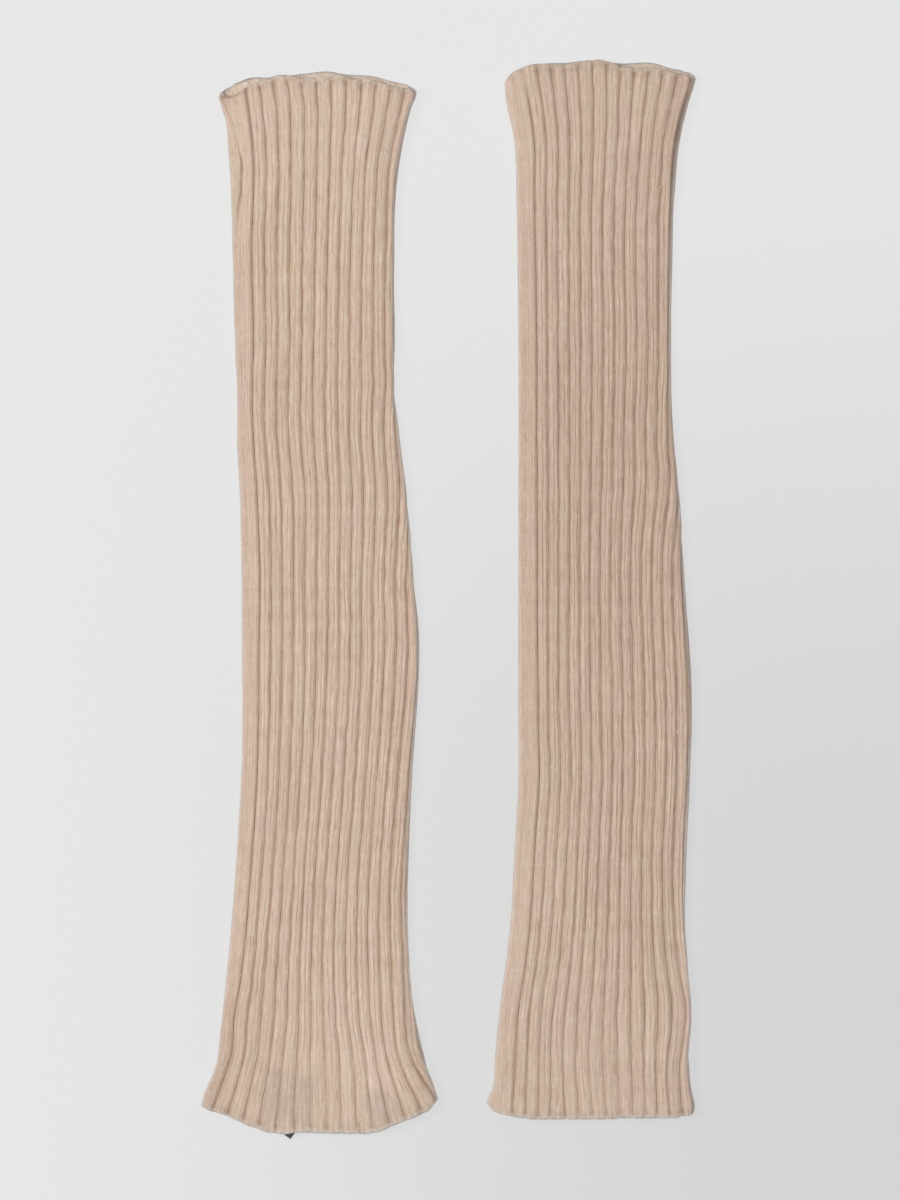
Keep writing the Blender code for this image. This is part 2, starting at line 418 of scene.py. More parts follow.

# Patches that show through from below, broad lighter and darker patches, and creases on the fronts
SHADES = (
    Patch(-82.5, -257.5, -10, 13.5, 12.5, 1),
    Patch(-34, -262.7, -25, 9.5, 7, 1),
)
# Painted shade on the left warmer's lower left flank, along its upper left edge and at its upper
# left corner, and by the right warmer's upper right fold; painted light on the right warmer's lower
# right fold; the rest make the yarn a little lighter or darker
TONES = (
    Patch(-105, -222, 0, 24, 42, -0.085),
    Patch(-114, 190, 0, 7, 75, -0.06),
    Patch(-92, 175, 0, 12, 60, -0.03),
    Patch(-12, -250, 0, 8, 14, -0.06),
    Patch(85, 65, 0, 40, 75, -0.035),
    Patch(50, -125, 0, 26, 70, 0.055),
    Patch(124, -165, 0, 8, 95, 0.085),
    Patch(120, 240, 0, 12, 35, -0.06),
    Patch(-114, 263, 0, 9, 6, -0.08),
)
LEFT_CREASES = (
    Patch(-67, -9, 2, 42, 5, 0.45),
    Patch(-60, 22, -4, 35, 7, 0.2),
    Patch(-72, -62, 62, 30, 9, 0.25),
    Patch(-84, -118, 55, 27.5, 8, 0.25),
    Patch(-62, -150, 60, 30, 8, 0.22),
    Patch(-92, -205, 64, 27.5, 9, 0.3),
    Patch(-88, 172, 70, 15, 7, 0.25),
    Patch(-60, 215, 50, 25, 8, 0.18),
)
RIGHT_CREASES = (
    Patch(80, 60, 85, 45, 9, 0.25),
    Patch(60, 120, 80, 30, 7, 0.25),
    Patch(95, 175, 58, 25, 8, 0.2),
    Patch(70, -60, 66, 30, 8, 0.22),
    Patch(84, -150, 62, 35, 8, 0.25),
    Patch(104, 20, 80, 30, 7, 0.25),
    Patch(66, -215, 50, 25, 8, 0.2),
)


@dataclass
class Shell:
    """Points and faces of one piece, gathered before they become a mesh."""

    points: list[Array] = field(default_factory=list)
    marks: dict[str, list[Array]] = field(default_factory=dict)
    faces: list[Array] = field(default_factory=list)
    count: int = 0

    def add_points(self, points: Array, **marks: Array) -> Array:
        """Adds a grid of points.

        Args:
            points: Rows of columns of places.
            **marks: What is written on the points, by attribute name.

        Returns:
            The points' indices, in the grid's shape.
        """
        shape = points.shape[:2]
        index = self.count + np.arange(shape[0] * shape[1]).reshape(shape)
        self.points.append(points.reshape(-1, 3))
        for name, value in marks.items():
            whole = np.broadcast_to(value, (*shape, 2) if name == "uv" else shape)
            self.marks.setdefault(name, []).append(whole.reshape(index.size, -1))
        self.count += index.size
        return index

    def add_grid(self, index: Array, layer: Layer) -> None:
        """Adds a quad for each cell of a grid of indices.

        Args:
            index: Indices in rows down the cloth and columns round it.
            layer: The face of the cloth, which gives the quads their way round.
        """
        corners = [index[:-1, :-1], index[1:, :-1], index[1:, 1:], index[:-1, 1:]]
        quads = np.stack([corner.ravel() for corner in corners], axis=1)
        self.faces.append(quads if layer is Layer.OUTER else quads[:, ::-1])

    def add_closing(self, fine: Array, coarse: Array, turned: bool) -> None:
        """Closes the slit between a fine edge and a coarse one with one face a coarse step.

        Args:
            fine: Indices along the outer edge, a whole number of them to each coarse step.
            coarse: Indices along the inner edge.
            turned: True where the faces would otherwise point inwards.
        """
        step = (len(fine) - 1) // (len(coarse) - 1)
        outer = fine[np.add.outer(np.arange(0, len(fine) - 1, step), np.arange(step + 1))]
        faces = np.column_stack([outer, coarse[1:], coarse[:-1]])
        self.faces.append(faces[:, ::-1] if turned else faces)

    def place(self, name: str) -> bpy.types.Object:
        """Makes the mesh with its map and attributes, and links it as an object at the origin.

        Args:
            name: The piece's name.

        Returns:
            The piece, shaded smooth.
        """
        mesh = bpy.data.meshes.new(name)
        faces = [face for group in self.faces for face in group.tolist()]
        mesh.from_pydata(np.concatenate(self.points), [], faces)
        corners = np.concatenate([group.ravel() for group in self.faces])
        for key, groups in self.marks.items():
            values = np.concatenate(groups)
            if key == "uv":
                mesh.uv_layers.new(name="knit").data.foreach_set("uv", values[corners].ravel())
            else:
                attribute = mesh.attributes.new(key, "FLOAT", "POINT")
                attribute.data.foreach_set("value", values.ravel())
        mesh.validate()
        mesh.shade_smooth()
        mesh.set_sharp_from_angle(angle=SHARP)
        return linked(name, mesh)


def linked(name: str, data: bpy.types.ID) -> bpy.types.Object:
    """Links data to the scene as an object at the origin.

    Args:
        name: The object's name.
        data: Its mesh, light or camera.

    Returns:
        The object.
    """
    made = bpy.data.objects.new(name, data)
    bpy.context.scene.collection.objects.link(made)
    return made


@dataclass(frozen=True)
class KnitTube:
    """One warmer's cloth as a pressed tube, with the sizes of its relief and its marks."""

    name: str
    axis: float
    top: float
    outline: Table
    grooves: Table
    upper: Table
    lower: Table
    band_crease: Table
    creases: Sequence[Patch]
    # Painted shade along the right fold, by the table
    fold: Table
    seed: int
    groove_depth: float = 1.15 * MM
    groove_share: float = 0.115
    groove_power: float = 1.6
    band_groove: float = 0.65
    crown: float = 0.3 * MM
    wale_depth: float = 0.26 * MM
    wale_play: float = 0.3 * MM
    wale_share: float = 0.27
    band_wale_depth: float = 0.16 * MM
    depth_play: float = 0.25
    width_play: float = 0.3
    wander: float = 0.3
    shoulder: float = 1.1 * MM
    shoulder_reach: float = 10 * MM
    scallops: Mapping[End, float] = field(
        default_factory=lambda: {End.UPPER: 1.6 * MM, End.LOWER: 0.7 * MM}
    )
    wave: float = 0.5 * MM
    tip_reach: float = 4 * MM
    widening: float = 0.5
    widening_reach: float = 4 * MM
    lean: float = 0.5 * MM
    seam_start: float = 0
    fold_width: float = 1.3 * MM
    brink: float = 0.5 * MM
    corner_brink: float = 0
    band_rim_shadow: float = 1.7
    left_shade: float = 0.08
    outline_paint_width: float = 0.9 * MM
    outline_paint_reach: float = 1.2 * MM
    lip_reach: float = 4 * MM
    rim_reach: float = 2.5 * MM
    crease_width: float = 0.5 * MM
    hem_fade: float = 0.4
    hem_side_groove_shade: float = 0.35
    hem_start: float = 75 * MM
    cast_off: float = 0.55
    cast_reach: float = 1.9 * MM
    lump: float = 0.24 * MM
    lump_reach: float = 2.6 * MM
    flattening: float = 0.38
    flat_reach: float = 34 * MM
    sway: float = 0.06 * MM
    kink: float = 0.26 * MM
    swell: float = 0.3 * MM
    ridge: float = 0.16
    seam_hold: float = 1.4
    stitching: float = 0.35
    stitching_inset: float = 1.2 * MM
    stitching_width: float = 0.4 * MM
    rolled_width: float = 1.1 * MM
    hem_middle: float = 0.3
    side_width: float = 2.5 * MM
    hem_side: float = 1.2
    hem_side_width: float = 4
    corner_width: float = 0.2
    edge_shade: float = 0.25
    edge_shade_play: float = 0.25
    corner_shade: float = 0.35
    lower_edge: float = 1.15
    under_edge: float = 1.8
    side_outline_paint: tuple[float, float] = (0.45, 0.6)
    end_outline_paint: float = 0.4
    front_outline_paint: float = 0.08

    @property
    def length(self) -> float:
        """Distance from the upper to the lower corners."""
        return self.outline.rows[-1][0] * MM

    @property
    def mouth_gap(self) -> float:
        """Space between the layers at the mouths, from the frame's height there."""
        low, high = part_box(f"{self.name}_rib_panel")
        return high.z - low.z - 2 * WALL


class Spots:
    """A grid of places on one warmer's cloth, and all that follows from turn and drop."""

    def __init__(self, tube: KnitTube, turn: Array, drop: Array) -> None:
        """Reads the tables at every place and lays the cloth.

        Args:
            tube: The warmer's cloth.
            turn: Turns round the tube.
            drop: Distances down.
        """
        self.tube = tube
        self.turn, self.drop = np.broadcast_arrays(turn, drop)
        self.rise = tube.length - self.drop
        self.to_mouth = np.minimum(self.drop, self.rise)
        self.left, self.right = (self.read(tube.outline, side) * MM for side in OUTLINE[1:])
        self.tabled = [self.read(tube.grooves, groove) * MM for groove in GROOVES[1:]]
        self.pitch = (self.tabled[-1] - self.tabled[0]) / TABLED_TURNS[-1]
        opening = (tube.mouth_gap - LAYER_GAP) * eased(1 - self.to_mouth / MOUTH_REACH)
        self.radius = WALL + (LAYER_GAP + opening) / 2
        self.start = self.groove_place(0)
        self.band = self.start - self.left
        self.band_run = BAND_BACK + (math.pi - 1) * self.radius + self.band
        self.aside = -self.turn * self.band_run
        self.places, self.normal = self.lay()
        x = self.places[..., 0] - tube.axis
        self.to_sides = np.array([x - self.left, self.right - x])
        self.centred = x / (self.right - self.left)
        self.up = self.normal[..., 2]
        self.silhouette = (self.up < 0) | (self.drop > self.rise)
        self.hem = eased(1 - self.rise / tube.hem_start)

    def read(self, table: Table, column: str) -> Array:
        """A column of a table at every drop."""
        return table.read(column, self.drop / MM)

    def play(self, of: Play, across: Array, along: Array) -> Array:
        """One of the warmer's fields of unevenness, -1 to 1."""
        number, knots, step = of.value
        return uneven(self.tube.seed + number, across * knots, along / step)

    def level(self, of: Play, across: Array, along: Array) -> Array:
        """One of the warmer's fields of unevenness, 0 to 1."""
        return 0.5 + 0.5 * self.play(of, across, along)

    def held(self, start: float) -> Array:
        """1 round the tube, falling to 0 at the seams, of which the first is at the start."""
        to_seam = np.minimum(self.turn - start, RIBS - self.turn)
        return np.clip(to_seam * self.tube.seam_hold, 0, 1)

    def groove_place(self, turn: Array) -> Array:
        """Where a groove lies: a lean to the right of the darkest line, which the tables give."""
        shares = (smooth(TABLED_TURNS, share, turn) for share in np.eye(len(TABLED_TURNS)))
        return self.tube.lean + sum(share * line for share, line in zip(shares, self.tabled))

    def run(self) -> Array:
        """Measures the way round the tube from the first groove.

        Ribs lie at the tabled grooves as far as the last one. After it they go on at the last
        spacing, with a square term that ends them at the seam on the back. The grooves sway
        slowly and kink. The band lies at turn times its own width.

        Returns:
            Metres to the right along the outer face, less than 0 on the band.
        """
        tube, turn, last = self.tube, self.turn, TABLED_TURNS[-1]
        whole = 2 * (self.right - self.left) - self.band - BAND_BACK + (math.pi - 3) * self.radius
        end = self.groove_place(last)
        spacing = end - self.groove_place(last - 1)
        left_over = whole - (end - self.start) - (RIBS - last) * spacing
        beyond = np.maximum(turn - last, 0)
        later = spacing * beyond + left_over * (beyond / (RIBS - last)) ** 2
        slow = tube.sway * self.play(Play.SWAY, turn, self.drop)
        short = tube.kink * self.play(Play.KINK, turn, self.drop)
        ribs = self.groove_place(turn) - self.start + later + self.held(0) * (slow + short)
        return np.where(turn < 0, -self.aside, ribs)

    def lay(self) -> tuple[Array, Array]:
        """Lays the cloth: flat to each fold, a half circle under it, the back on the ground.

        Returns:
            Points on the outermost surface, and unit normals.
        """
        radius, half_turn = self.radius, math.pi * self.radius
        flat_left, flat_right = self.left + radius, self.right - radius
        along = self.start + self.run()
        ahead, behind = along - flat_right, flat_left - along
        angle = (np.clip(ahead, 0, half_turn) - np.clip(behind, 0, half_turn)) / radius
        under = np.maximum(behind - half_turn, 0) - np.maximum(ahead - half_turn, 0)
        x = np.clip(along, flat_left, flat_right) + radius * np.sin(angle) + under
        height = (1 + np.cos(angle)) / 2
        across = np.clip((x - self.left) / (self.right - self.left), 0, 1)
        y = self.tube.top - self.drop + self.mouth_pass(across, height)
        dip = self.dip(x, y, np.minimum(x - flat_left, flat_right - x))
        normal = np.stack([np.sin(angle), 0 * x, np.cos(angle)], axis=-1)
        return np.stack([self.tube.axis + x, y, height * (2 * radius - dip)], axis=-1), normal

    def mouth_pass(self, across: Array, height: Array) -> Array:
        """Measures how far the cloth reaches along +Y past the straight tube.

        Args:
            across: Share of the flat width.
            height: 0 on the back and 1 on the front.

        Returns:
            Metres: each mouth's line, faded inwards as a square, slow waves, and on the front
            an arch over each rib, the root of 1 less the square of the way from its middle.
        """
        tube, turn = self.tube, self.turn
        total = np.zeros_like(across)
        arch = np.sqrt(np.clip(1 - (1 - 2 * to_whole(turn)) ** 2, 0, 1)) - 0.75
        ends = ((End.UPPER, tube.upper, self.drop), (End.LOWER, tube.lower, self.rise))
        for end, table, inside in ends:
            front, back = table.read("front", across), table.read("back", across)
            line = (back + (front - back) * height) * MM
            line = line * np.clip(1 - inside / HEM_REACH, 0, 1) ** 2
            own = self.level(Play.TIP, np.floor(turn) + 0.5, end.value + TIP_ROW)
            tip = tube.scallops[end] * own * arch * height * (turn > 0)
            slow = tube.wave * self.play(Play.WAVE, turn, end.value + WAVE_ROW) * self.held(-1)
            total = total + end.value * (line + (tip + slow) * hump(inside, tube.tip_reach))
        return total

    def dip(self, x: Array, y: Array, to_edge: Array) -> Array:
        """Measures how far the front sinks below flat: soft shoulders, swells and creases.

        Args:
            x: Metres from the warmer's axis.
            y: Metres along +Y.
            to_edge: Distance in from where the nearer fold starts.

        Returns:
            Metres down.
        """
        tube = self.tube
        shoulder = tube.shoulder * (1 - eased(to_edge / tube.shoulder_reach))
        swell = tube.swell * self.play(Play.SWELL, x, y)
        creases = sum(crease.soft(tube.axis + x, y, 4) for crease in tube.creases)
        return shoulder + swell + creases * MM

    def groove(self, turn: Array) -> Array:
        """Shapes the grooves: a hump round each, wider and fainter at the cast-off edges.

        Args:
            turn: Turns round the tube.

        Returns:
            Share of the full depth, 1 in the middle of a groove and 0 on the ribs.
        """
        tube = self.tube
        play = self.play(Play.GROOVE_WIDTH, np.round(turn) + 0.5, self.drop)
        width = tube.groove_share * (1 + tube.width_play * play)
        width = width * (1 + tube.widening * hump(self.to_mouth, tube.widening_reach))
        share = hump(to_whole(turn), width, tube.groove_power)
        share = share * (1 - tube.cast_off * hump(self.to_mouth, tube.cast_reach))
        below = self.drop + tube.brink - tube.seam_start / 3
        started = eased(below / (tube.seam_start + tube.brink))
        return share * np.where(turn < 0.5, started, 1)

    def wales(self, turn: Array) -> Array:
        """Shapes the wales: furrows that wander on each rib, and heights of their own.

        Args:
            turn: Turns round the tube.

        Returns:
            Metres below the top of a wale.
        """
        tube = self.tube
        wander = self.play(Play.WANDER, np.floor(turn) + 0.5, self.drop)
        wale = turn * WALES_PER_RIB + WALE_START + tube.wander * wander
        deep = tube.wale_depth * (1 + self.play(Play.FURROW, np.round(wale) + 0.5, self.drop))
        furrow = deep * hump(to_whole(wale), tube.wale_share)
        return furrow + tube.wale_play * self.level(Play.WALE_HEIGHT, wale, self.drop)

    def rib_relief(self) -> Array:
        """Adds up the relief of the ribs: grooves, the round of each rib and its wales.

        Returns:
            Metres below the outermost surface, less near the mouths.
        """
        tube, turn = self.tube, np.maximum(self.turn, 0)
        play = self.play(Play.GROOVE_DEPTH, np.round(turn) + 0.5, self.drop)
        deep = tube.groove_depth * (1 - tube.depth_play + tube.depth_play * play)
        groove = self.groove(turn)
        rounding = tube.crown * (1 - 2 * to_whole(turn)) ** 2
        depth = deep * groove + (rounding + self.wales(turn)) * (1 - groove)
        return depth * (1 - tube.flattening * hump(self.to_mouth, tube.flat_reach))

    def band_relief(self) -> Array:
        """Adds up the relief of the plain band: half a groove at each side, crease and wales.

        Returns:
            Metres below the outermost surface.
        """
        tube = self.tube
        front, back = (
            self.groove(np.clip(distance / self.pitch, 0, 0.5))
            for distance in (self.aside, self.band_run - self.aside)
        )
        grooves = np.maximum(front, back)
        wales = tube.band_wale_depth * (0.5 - 0.5 * np.cos(2 * math.pi * self.aside / WALE))
        deep = tube.groove_depth * tube.band_groove * grooves
        return deep + self.band_crease() * MM + wales * (1 - grooves)

    def band_crease(self) -> Array:
        """Depth of the crease in the plain band, in mm."""
        aside = self.band - self.aside - self.read(self.tube.band_crease, "inset") * MM
        return self.read(self.tube.band_crease, "strength") * hump(aside, self.tube.crease_width)

    def sunk(self) -> Array:
        """Adds lumps at the cast-off edges to the relief.

        Returns:
            Depth of the outer face.
        """
        lumps = self.tube.lump * self.level(Play.LUMP, self.turn, self.drop)
        relief = np.where(self.turn < 0, self.band_relief(), self.rib_relief())
        return relief + lumps * hump(self.to_mouth, self.tube.lump_reach)

    def back_of_wall(self) -> Array:
        """Depth of the inner face, where the back of each groove stands out as a ridge."""
        flat = 1 - self.groove(np.maximum(self.turn, 0)) * (self.turn > 0)
        return WALL * (1 - self.tube.ridge * flat)

    def face(self, layer: Layer) -> Array:
        """Points of the outer or the inner face of the cloth."""
        depth = self.sunk() if layer is Layer.OUTER else self.back_of_wall()
        return self.places - self.normal * depth[..., None]

    def chart(self) -> Array:
        """Map of the knit: wales round the tube and courses down it."""
        wales = np.where(self.turn < 0, -self.aside / WALE, self.turn * WALES_PER_RIB)
        return np.stack([wales + WALE_START, self.drop / COURSE], axis=-1)

    def groove_mark(self) -> Array:
        """Adds up the dark lines: painted shade in the grooves, partly the sunk purl yarn, and on
        the band its stitching and painted shade in its crease and along its upper rim.

        Returns:
            How dark each place is, with more painted shade at the lower hem's sides and less in
            its middle.
        """
        tube = self.tube
        band = np.clip(self.aside / self.pitch, 0, 0.5)
        groove = self.groove(np.where(self.turn < 0, band, self.turn))
        stitching = hump(self.aside - tube.stitching_inset, tube.stitching_width)
        # Painted shadow along the band's upper rim on the front, where its edge meets the lining
        rim_shadow_line = tube.band_rim_shadow * hump(self.drop, tube.rolled_width) * (self.up > 0.3)
        lines = [groove, self.band_crease(), tube.stitching * stitching, rim_shadow_line]
        # Painted shade: the grooves get darker towards the lower hem's sides and fainter in its
        # middle
        fading = (tube.hem_side_groove_shade + tube.hem_fade) * hump(self.centred, tube.hem_middle)
        flare = self.hem * (tube.hem_side_groove_shade - fading)
        return np.where(self.turn < 0, np.maximum.reduce(lines), groove) * (1 + flare)

    def shade_mark(self, on_front: Array) -> Array:
        """Paints shade along both folds, the right one by the table, and unevenly along the cut
        edges.

        Args:
            on_front: Where the folds are shaded.

        Returns:
            The strongest. Of the edges it is some on the lower hem and under the upper edge,
            and more at a corner if the warmer asks.
        """
        tube, (to_left, to_right), lower = self.tube, self.to_sides, self.drop > self.rise
        line = to_right - self.read(tube.fold, "inset") * MM
        right = self.read(tube.fold, "strength") * hump(line, tube.fold_width)
        left = tube.left_shade * (1 + tube.hem_side * self.hem)
        left = left * hump(to_left / (1 + tube.hem_side_width * self.hem), tube.side_width)
        corner = tube.corner_brink * hump(self.centred + 0.5, tube.corner_width) * ~lower
        # Painted shade along the cut edges, uneven at random along them
        shade_play = tube.edge_shade_play * self.play(Play.EDGE_SHADE_PLAY, self.places[..., 0], 0.5)
        edge = tube.edge_shade + shade_play + tube.corner_shade * corner
        edge = edge * np.where(lower, tube.lower_edge, tube.under_edge * (self.up < 0))
        edge = edge * hump(self.to_mouth / (1 + corner), tube.brink)
        return np.maximum(np.maximum(right, left) * on_front, edge)

    def outline_light_shade_mark(self) -> Array:
        """Paints light along the outline, a pale grey that lifts the edges where the cloth turns
        away from the light.

        Returns:
            The strongest of both sides and of the mouths, where the front has less.
        """
        tube, shares = self.tube, np.array(self.tube.side_outline_paint)[:, None, None]
        sides = shares * hump(self.to_sides, tube.outline_paint_width)
        ends = np.where(self.silhouette, tube.end_outline_paint, tube.front_outline_paint)
        return np.maximum.reduce([*sides, ends * hump(self.to_mouth, tube.outline_paint_reach, 1.5)])

    def marks(self, layer: Layer) -> dict[str, Array]:
        """Works out what the finishes read at each point.

        Args:
            layer: The face of the cloth.

        Returns:
            The map, the painted shade in the grooves, partly the purl yarn, the nearness of a mouth,
            and of the upper one on the front, how much shows through from below, the painted shade
            on the folds and the cut edges, the painted light and shade along the outline, the
            lighter and darker patches, and 1 on the inner face.
        """
        x, y = self.places[..., 0], self.places[..., 1]
        inside = float(layer is Layer.INNER)
        on_front = (self.up > -0.1) * (1 - inside)
        return {
            "uv": self.chart(),
            "groove": self.groove_mark() * (0.3 if inside else 1),
            "rim": hump(self.to_mouth, self.tube.rim_reach),
            "lip": hump(self.to_mouth, self.tube.lip_reach) * ~self.silhouette,
            "veil": np.maximum.reduce([shade.block(x, y) for shade in SHADES]) * on_front,
            "shade": self.shade_mark(on_front),
            "fuzz": self.outline_light_shade_mark(),
            "tone": sum(tone.soft(x, y) for tone in TONES),
            "inside": inside,
        }


@dataclass(frozen=True)
class Panel:
    """A piece of a warmer's tube: a fine outer face, a coarser inner one, closed all round.

    Each span is a number of columns, and how many of them make one column of the inner face.
    """

    tube: KnitTube
    kind: str
    turns: Array
    spans: Sequence[tuple[int, int]]
    rows: int = 237
    rim: float = 2.45 * MM
    crowding: float = 0.3

    @property
    def drops(self) -> Array:
        """Rows down the cloth, a little closer together towards the mouths."""
        shares = crowded(self.rows, self.crowding)
        return self.rim + (self.tube.length - 2 * self.rim) * shares

    def build(self) -> bpy.types.Object:
        """Makes the two faces and the strips that join them along the cut edges.

        Returns:
            The piece.
        """
        counts, steps = zip(*self.spans)
        joins = np.cumsum([0, *counts])
        parts = list(zip(joins[:-1], joins[1:]))
        kept = [np.arange(*part, step) for part, step in zip(parts, steps)]
        kept = np.concatenate([*kept, joins[-1:]])
        fine = Spots(self.tube, self.turns[None, :], self.drops[:, None])
        coarse = Spots(self.tube, self.turns[None, kept], self.drops[::2, None])
        shell = Shell()
        outer, inner = (
            shell.add_points(spots.face(layer), **spots.marks(layer))
            for spots, layer in ((fine, Layer.OUTER), (coarse, Layer.INNER))
        )
        shell.add_grid(outer, Layer.OUTER)
        shell.add_grid(inner, Layer.INNER)
        for row, turned in ((0, False), (-1, True)):
            for low, high in parts:
                start, end = np.searchsorted(kept, (low, high))
                shell.add_closing(outer[row, low:high + 1], inner[row, start:end + 1], turned)
        for column, turned in ((0, True), (-1, False)):
            shell.add_closing(outer[:, column], inner[:, column], turned)
        return shell.place(f"{self.tube.name}_{self.kind}")


def rib_panel(tube: KnitTube) -> Panel:
    """Lays out the rib panel.

    Args:
        tube: The warmer's cloth.

    Returns:
        The panel, with many columns to a rib on the front and fewer underneath.
    """
    front = np.add.outer(np.arange(DETAILED_RIBS), FINE_RIB).ravel()
    back = np.add.outer(np.arange(DETAILED_RIBS, RIBS), PLAIN_RIB).ravel()
    spans = [(front.size, 4), (back.size, 2)]
    return Panel(tube, "ribs", np.concatenate([front, back, [RIBS]]), spans)


def side_band(tube: KnitTube, steps: int = 48) -> Panel:
    """Lays out the plain band, from the seam on the back to just short of the first groove."""
    return Panel(tube, "plain_band", crowded(steps + 1, 0.45) - 1 - HAIR, [(steps, 4)])


@dataclass(frozen=True)
class KnittedEdge:
    """The cast-off edge round one mouth: it carries the ribs on and rounds them off."""

    tube: KnitTube
    end: End
    turns: Array
    rim: float
    rounding: float = 1.0 * MM
    tuck: float = 0.3 * MM
    straight: int = 4
    bend: int = 9

    def section(self) -> tuple[Array, Array]:
        """Draws the edge in section.

        Returns:
            Distances in from the mouth and shares of the wall's depth: straight along the
            outer face, a half circle at the mouth (1 less the sine, and half of 1 less the
            cosine), straight back along the inner face, and a point tucked into the wall.
        """
        level = np.linspace(self.rim, self.rounding, self.straight)
        angle = np.linspace(0, math.pi, self.bend)[1:-1]
        inside = [level, self.rounding * (1 - np.sin(angle)), level[::-1], [self.rim + self.tuck]]
        share = [0 * level, (1 - np.cos(angle)) / 2, 0 * level + 1, [0.5]]
        return np.concatenate(inside)[:, None], np.concatenate(share)[:, None]

    def build(self) -> bpy.types.Object:
        """Carries the section round the mouth between both faces.

        Returns:
            The edge.
        """
        inside, share = self.section()
        drop = inside if self.end is End.UPPER else self.tube.length - inside
        spots = Spots(self.tube, self.turns[None, :], drop)
        outer, inner = spots.sunk(), spots.back_of_wall()
        points = spots.places - spots.normal * (outer + share * (inner - outer))[..., None]
        marks = {**spots.marks(Layer.OUTER), "inside": eased(share)}
        shell = Shell()
        index = np.pad(shell.add_points(points, **marks), (0, 1), mode="wrap")
        shell.add_grid(index, Layer.OUTER if self.end is End.LOWER else Layer.INNER)
        return shell.place(f"{self.tube.name}_{self.end.name.lower()}_roll")


@dataclass(frozen=True)
class Label:
    """The small woven label, folded once, between the layers of the left warmer."""

    width: float = 26 * MM
    height: float = 30 * MM
    tape: float = 0.24 * MM
    bend: float = 0.16 * MM
    turned: float = math.radians(-36)
    aside: float = 1.4 * MM
    steps: int = 24
    fold_steps: int = 9

    def side(self, reach: float) -> tuple[Array, Array]:
        """Draws one side of the tape in section: under ply, round the fold, and upper ply.

        Args:
            reach: Distance from the middle between the plies.

        Returns:
            Places along the label and heights above that middle.
        """
        centre = self.bend + self.tape / 2 - self.height / 2
        straight = np.linspace(self.height / 2, centre, self.steps)
        fold = np.linspace(-math.pi / 2, -3 * math.pi / 2, self.fold_steps)[1:-1]
        height = [0 * straight - 1, np.sin(fold), 0 * straight + 1]
        along = [straight, centre + reach * np.cos(fold), straight[::-1]]
        return np.concatenate(along), reach * np.concatenate(height)

    def build(self) -> bpy.types.Object:
        """Carries the strip's section across its width, on the height of the frame's label.

        Returns:
            The label.
        """
        outer, inner = (self.side(self.bend + half) for half in (self.tape / 2, -self.tape / 2))
        along, height = (np.append(out, back[::-1]) for out, back in zip(outer, inner))
        side = np.linspace(-self.width / 2, self.width / 2, self.steps)[:, None]
        low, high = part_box("label")
        middle = complex(*(low + high)[:2]) / 2 + self.aside
        spot = middle + (side + 1j * along) * np.exp(1j * self.turned)
        z = height + (self.bend + self.tape / 2 + low.z)
        chart = np.broadcast_arrays(side, np.arange(len(along)) * MM)
        shell = Shell()
        points = np.stack(np.broadcast_arrays(spot.real, spot.imag, z), axis=-1)
        index = shell.add_points(points, uv=np.stack(chart, axis=-1))
        shell.add_grid(np.pad(index, ((0, 0), (0, 1)), mode="wrap"), Layer.OUTER)
        shell.faces += [index[:1], index[-1:, ::-1]]
        return shell.place("folded_label")


def math_node(operation: str, reflected: bool = False) -> Callable[..., "Value"]:
    """Makes a method of Value that adds a Math node.

    Args:
        operation: The node's operation.
        reflected: True if the value stands after the other one.

    Returns:
        The method.
    """

    def method(self: "Value", *others: "Socketable") -> "Value":
        """The Math node's result for this value and others."""
        values = dict(enumerate((*others, self) if reflected else (self, *others)))
        return self.graph.add("ShaderNodeMath", {"operation": operation}, values)

    return method


class Value:
    """A socket that carries a number, with arithmetic that adds Math nodes."""

    def __init__(self, graph: "Graph", socket: bpy.types.NodeSocket) -> None:
        """Keeps the graph and the socket."""
        self.graph = graph
        self.socket = socket

    __add__ = __radd__ = math_node("ADD")
    __mul__ = __rmul__ = math_node("MULTIPLY")
    __sub__ = math_node("SUBTRACT")
    __rsub__ = math_node("SUBTRACT", reflected=True)
    __pow__ = math_node("POWER")
    __abs__ = math_node("ABSOLUTE")
    part = math_node("FRACT")
    sine = math_node("SINE")


Socketable = Value | float | int | Sequence[float]
Settings = Mapping[str, object]
Sockets = Mapping[int | str, Socketable]


